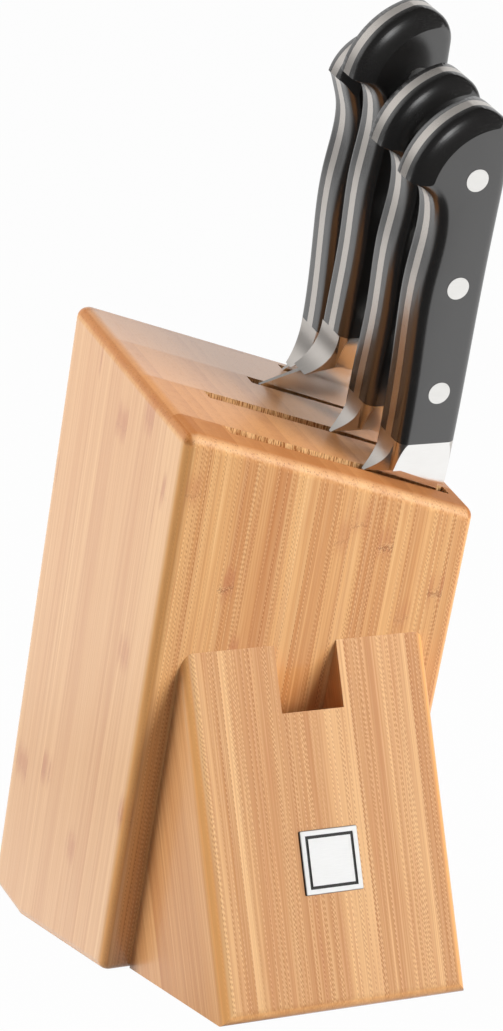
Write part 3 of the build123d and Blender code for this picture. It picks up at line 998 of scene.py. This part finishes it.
@dataclass
class Knife:
    """One forged knife: blade with bolster and tang, two scales and rivets.

    The sizes are in mm: the depth of the blade's middle plane, the places of the spine and the
    collar in that plane, and slacks. The hook and the butt are shares of the usual handle's.
    """

    name: str
    depth: float
    spine: float
    collar: float
    hook: float = 1.0
    butt: float = 1.0
    cuts: int = 2
    slack: float = 0.02
    near_slack: float = 0.08
    crease_slack: float = 0.06
    merge_gap: float = 0.002
    level: float = 0.999
    outline_angle: float = 1.0
    smooth_angle: float = 35.0
    centre: np.ndarray = field(init=False)
    dome: Dome = field(init=False)

    def __post_init__(self) -> None:
        """Draw the butt's arc through its three points."""
        points = np.array((HOOK_TIP, BUTT_MIDDLE, BUTT_TOP))
        points[:, 0] *= self.hook
        points[:, 1] = HOOK_TIP[1] + (points[:, 1] - HOOK_TIP[1]) * self.butt
        points += (self.spine, self.collar)
        squares = (points**2).sum(axis=1)
        self.centre = np.linalg.solve(
            2.0 * (points[1:] - points[0]), squares[1:] - squares[0]
        )
        self.dome = Dome(float(np.hypot(*(points[0] - self.centre))))

    def places(self, mesh: bpy.types.Mesh) -> tuple[np.ndarray, np.ndarray]:
        """Where the points of a mesh lie on the handle.

        Args:
            mesh: Mesh of a scale.

        Returns:
            Places from the butt's centre in the plane of the blade, and distances from that plane.
        """
        points = np.empty(len(mesh.vertices) * 3)
        mesh.vertices.foreach_get("co", points)
        offsets = points.reshape(-1, 3) * MM - np.array(FRONT_FOOT)
        flat = np.stack((offsets[:, 0], offsets @ np.array(UP_LEAN)), axis=1)
        return flat - self.centre, offsets @ np.array(INWARD) - self.depth

    def outline(self, mesh: bpy.types.Mesh) -> np.ndarray:
        """Runs of the handle's outline near the butt, among the selected edges.

        Args:
            mesh: Mesh of a scale.

        Returns:
            Both ends of each run, from the butt's centre.
        """
        flat, half = self.places(mesh)
        reach = self.dome.rim - self.dome.inset - self.dome.edge_round
        inner = (abs(half) < self.dome.tang + self.slack) & (np.hypot(*flat.T) > reach)
        ends = [edge.vertices[:] for edge in mesh.edges if edge.select]
        return np.array([flat[list(pair)] for pair in ends if inner[pair[0]] and inner[pair[1]]])

    def select_hollow(self, mesh: bpy.types.Mesh) -> None:
        """Select the faces of the hollow butt.

        Args:
            mesh: Mesh of a scale, in object mode with nothing selected.
        """
        flat, half = self.places(mesh)
        above = flat[:, 1] > self.collar + GROOVE_RISE - self.centre[1] - self.slack
        near = abs(np.hypot(*flat.T) - self.dome.hollow_reach(abs(half))) < self.near_slack
        hollow = above & near & (abs(half) > self.dome.tang - self.slack)
        for face in mesh.polygons:
            level = abs(face.normal.dot(INWARD)) > self.level
            face.select = not level and all(hollow[index] for index in face.vertices)

    def swell(self, mesh: bpy.types.Mesh, runs: np.ndarray) -> None:
        """Raise the selected points from the hollow to the dome and keep its edge crisp.

        Args:
            mesh: Mesh of a scale.
            runs: Runs of the outline.
        """
        flat, half = self.places(mesh)
        away = self.dome.hollow_reach(abs(half))
        start, run = runs[:, 0], runs[:, 1] - runs[:, 0]
        for vertex in mesh.vertices:
            index = vertex.index
            if not vertex.select or abs(half[index]) < self.dome.tang + self.slack:
                continue
            offset = flat[index] - start
            share = np.clip((offset * run).sum(axis=1) / (run * run).sum(axis=1), 0.0, 1.0)
            inside = np.hypot(*(offset - run * share[:, None]).T).min()
            rise = float(self.dome.height(away[index], inside)) - abs(half[index])
            vertex.co += INWARD * (math.copysign(rise, half[index]) / MM)
        from_crease = abs(np.hypot(*flat.T) - self.dome.rim + self.dome.inset)
        crease = (from_crease < self.crease_slack) & (abs(half) > self.dome.flat - self.slack)
        for edge in mesh.edges:
            edge.use_edge_sharp = bool(crease[list(edge.vertices)].all())

    def merge(self) -> None:
        """Join the points of the mesh in edit mode that lie together."""
        bpy.ops.mesh.select_all(action="SELECT")
        bpy.ops.mesh.remove_doubles(threshold=self.merge_gap / MM)

    def copy_scale(self, node: str) -> bpy.types.Object:
        """Copy a scale's node as one closed mesh.

        Args:
            node: Name of the scale's node.

        Returns:
            The copy, alone and active, with the edges between its faces selected.
        """
        piece = bpy.data.objects.new(node + "_domed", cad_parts[node].data.copy())
        bpy.context.scene.collection.objects.link(piece)
        bpy.ops.object.select_all(action="DESELECT")
        piece.select_set(True)
        bpy.context.view_layer.objects.active = piece
        bpy.ops.object.mode_set(mode="EDIT")
        bpy.ops.mesh.select_mode(type="EDGE")
        bpy.ops.mesh.customdata_custom_splitnormals_clear()
        self.merge()
        bpy.ops.mesh.select_all(action="DESELECT")
        bpy.ops.mesh.edges_select_sharp(sharpness=math.radians(self.outline_angle))
        bpy.ops.object.mode_set(mode="OBJECT")
        return piece

    def dome_scale(self, node: str, material: bpy.types.Material) -> None:
        """Stand a copy of a scale, its butt swelled to a dome, for the node.

        Args:
            node: Name of the scale's node.
            material: Material of the scale.
        """
        piece = self.copy_scale(node)
        runs = self.outline(piece.data)
        bpy.ops.object.mode_set(mode="EDIT")
        bpy.ops.mesh.select_mode(type="FACE")
        bpy.ops.mesh.select_all(action="DESELECT")
        bpy.ops.object.mode_set(mode="OBJECT")
        self.select_hollow(piece.data)
        bpy.ops.object.mode_set(mode="EDIT")
        bpy.ops.mesh.subdivide(number_cuts=self.cuts)
        bpy.ops.object.mode_set(mode="OBJECT")
        self.swell(piece.data, runs)
        bpy.ops.object.mode_set(mode="EDIT")
        self.merge()
        bpy.ops.object.mode_set(mode="OBJECT")
        smooth = math.radians(self.smooth_angle)
        bpy.ops.object.shade_smooth_by_angle(angle=smooth, keep_sharp_edges=True)
        piece.data.materials.clear()
        piece.data.materials.append(material)
        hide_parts(node)
        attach(piece, self.name + "_knife")
        log.info("domed %s along %d runs of its outline", node, len(runs))

    def dress_all(
        self,
        steel: bpy.types.Material,
        black: bpy.types.Material,
        rivet: bpy.types.Material,
    ) -> None:
        """Dress the knife.

        Args:
            steel: Material of the blade.
            black: Material of the scales.
            rivet: Material of the rivets.
        """
        dress(self.name + "_blade", steel)
        dress(self.name + "_rivets", rivet)
        for side in ("_front_scale", "_back_scale"):
            dress(self.name + side, black)
            self.dome_scale(self.name + side, black)


@dataclass(frozen=True)
class Lamp:
    """Square soft lamp: its place and side in metres, its power in watts."""

    name: str
    spot: Place
    side: float
    power: float
    mirrored: bool = False

    def hang(self, aim: Vector) -> None:
        """Hang the lamp.

        Args:
            aim: Point that it shines at.
        """
        lamp = bpy.data.lights.new(self.name, "AREA")
        lamp.shape, lamp.size, lamp.energy = "SQUARE", self.side, self.power
        holder = bpy.data.objects.new(self.name, lamp)
        holder.location = self.spot
        holder.visible_glossy = self.mirrored
        holder.rotation_euler = (aim - Vector(self.spot)).to_track_quat("-Z", "Y").to_euler()
        bpy.context.scene.collection.objects.link(holder)


@dataclass
class Studio:
    """Pale floor, soft lamps and the camera; lengths in metres, the lens and sensor in mm."""

    eye: Place = (-0.49948, -1.04023, 0.34573)
    sight: Place = (0.42697, 0.88871, -0.16699)
    lens: float = 124.0
    sensor: float = 36.0
    clip_start: float = 0.05
    clip_end: float = 50.0
    floor_side: float = 60.0
    floor_white: float = 0.98
    floor_dark: Colour = (0.3, 0.3, 0.3, 1.0)
    floor_pale: Colour = (0.34, 0.34, 0.34, 1.0)
    floor_mottling: Place = (0.01, 0.01, 0.01)
    far_floor: float = 0.95
    far_step: Span = (-0.15, 0.55)
    near_step: Span = (-0.35, -0.12)
    right_step: Span = (-0.4, 0.0)
    ambient: float = 0.15
    overhead: float = 0.3
    ceiling_step: Span = (0.6, 0.95)
    front_dim: float = 0.05
    back_step: Span = (0.1, 0.5)
    left_dim: float = 0.3
    left_step: Span = (-0.5, 0.0)
    left_height: Span = (0.15, 0.45)
    middle: Place = (0.0, 0.0, 0.14)
    lamps: tuple[Lamp, ...] = (
        Lamp("right_lamp", (1.2, -1.5, 0.6), 1.2, 49.0),
        Lamp("front_lamp", (-0.55, -1.46, 0.66), 0.4, 1.8, mirrored=True),
        Lamp("left_lamp", (-1.8, 0.9, 0.7), 1.5, 45.0),
        Lamp("top_lamp", (-0.3, 0.3, 1.4), 0.8, 9.0),
    )

    def build_floor(self) -> None:
        """Lay the floor, which shows white but keeps the object's shadow."""
        bpy.ops.object.select_all(action="DESELECT")
        bpy.ops.mesh.primitive_plane_add(size=self.floor_side, location=(0.0, 0.0, 0.0))
        floor = bpy.context.active_object
        floor.name = "floor"
        material, g = new_graph("pale_floor")
        seen, shiny, clear = g.rays()
        spot = g.place()
        mottle = g.noise(g.stretch(spot, self.floor_mottling), 2.0)
        colour = g.mix(mottle, self.floor_dark, self.floor_pale)
        matt = g.value("ShaderNodeBsdfDiffuse", None, {"Color": colour})
        right, back, _ = g.split(spot)
        right, back = right / MM, back / MM
        far = back.rise(*self.far_step) * self.far_floor
        near = (right * 3.0 + back * 2.0).rise(*self.near_step) * right.rise(*self.right_step)
        mirrored = near.most(far) * (1.0 - self.front_dim) + self.front_dim
        strength = seen.most(clear).most(mirrored)
        glow = g.value("ShaderNodeEmission", None, {"Color": WHITE, "Strength": strength})
        share = seen.most(clear).most(shiny) * self.floor_white
        shader = g.value("ShaderNodeMixShader", None, {0: share, 1: matt, 2: glow})
        g.node("ShaderNodeOutputMaterial", None, {"Surface": shader})
        floor.data.materials.append(material)

    def light_world(self) -> None:
        """Soft light from all round, dimmer overhead; the background itself shows white."""
        world = bpy.data.worlds.new("studio")
        bpy.context.scene.world = world
        world.use_nodes = True
        g = Graph(world.node_tree)
        seen, shiny, clear = g.rays()
        right, back, up = g.split(g.value("ShaderNodeTexCoord", None, None, "Generated"))
        left = (1.0 - right.rise(*self.left_step)) * (1.0 - up.rise(*self.left_height))
        white = back.rise(*self.back_step) * (1.0 - left * (1.0 - self.left_dim))
        backdrop = 1.0 - (1.0 - white) * (1.0 - self.front_dim)
        ceiling = 1.0 - up.rise(*self.ceiling_step) * (1.0 - self.overhead)
        shown = shiny.most(clear) * (backdrop - self.ambient) + self.ambient
        strength = seen.most(shown * ceiling)
        glow = g.value("ShaderNodeBackground", None, {"Color": WHITE, "Strength": strength})
        g.node("ShaderNodeOutputWorld", None, {"Surface": glow})

    def build_camera(self) -> None:
        """Set up the camera at the photograph's viewing angle."""
        lens = bpy.data.cameras.new("camera")
        lens.sensor_width, lens.sensor_fit, lens.lens = self.sensor, "AUTO", self.lens
        lens.clip_start, lens.clip_end = self.clip_start, self.clip_end
        camera = bpy.data.objects.new("camera", lens)
        camera.location = self.eye
        camera.rotation_euler = Vector(self.sight).to_track_quat("-Z", "Y").to_euler()
        bpy.context.scene.collection.objects.link(camera)
        bpy.context.scene.camera = camera

    def build(self) -> None:
        """Set the whole stage."""
        self.build_floor()
        self.light_world()
        for lamp in self.lamps:
            lamp.hang(Vector(self.middle))
        self.build_camera()
        bpy.context.scene.view_settings.view_transform = "Standard"


def main() -> None:
    """Dress the whole set and light it."""
    block = WoodBlock()
    block.dress_boards()
    block.dress_foot()
    steel = Steel("blade_steel").make()
    black = BlackScale("handle_black").make()
    rivet = Steel("rivet_steel", tint=srgb(244, 243, 240), shade=srgb(222, 220, 216)).make()
    knives = (
        Knife("paring", depth=85.2, spine=46.5, collar=192.17, hook=0.76, butt=0.6),
        Knife("chef", depth=64.4, spine=47.4, collar=201.4),
        Knife("bread", depth=39.1, spine=47.3, collar=189.61),
        Knife("carving", depth=12.9, spine=44.3, collar=189.6),
    )
    for knife in knives:
        knife.dress_all(steel, black, rivet)
    Studio().build()


if __name__ == "__main__":
    main()
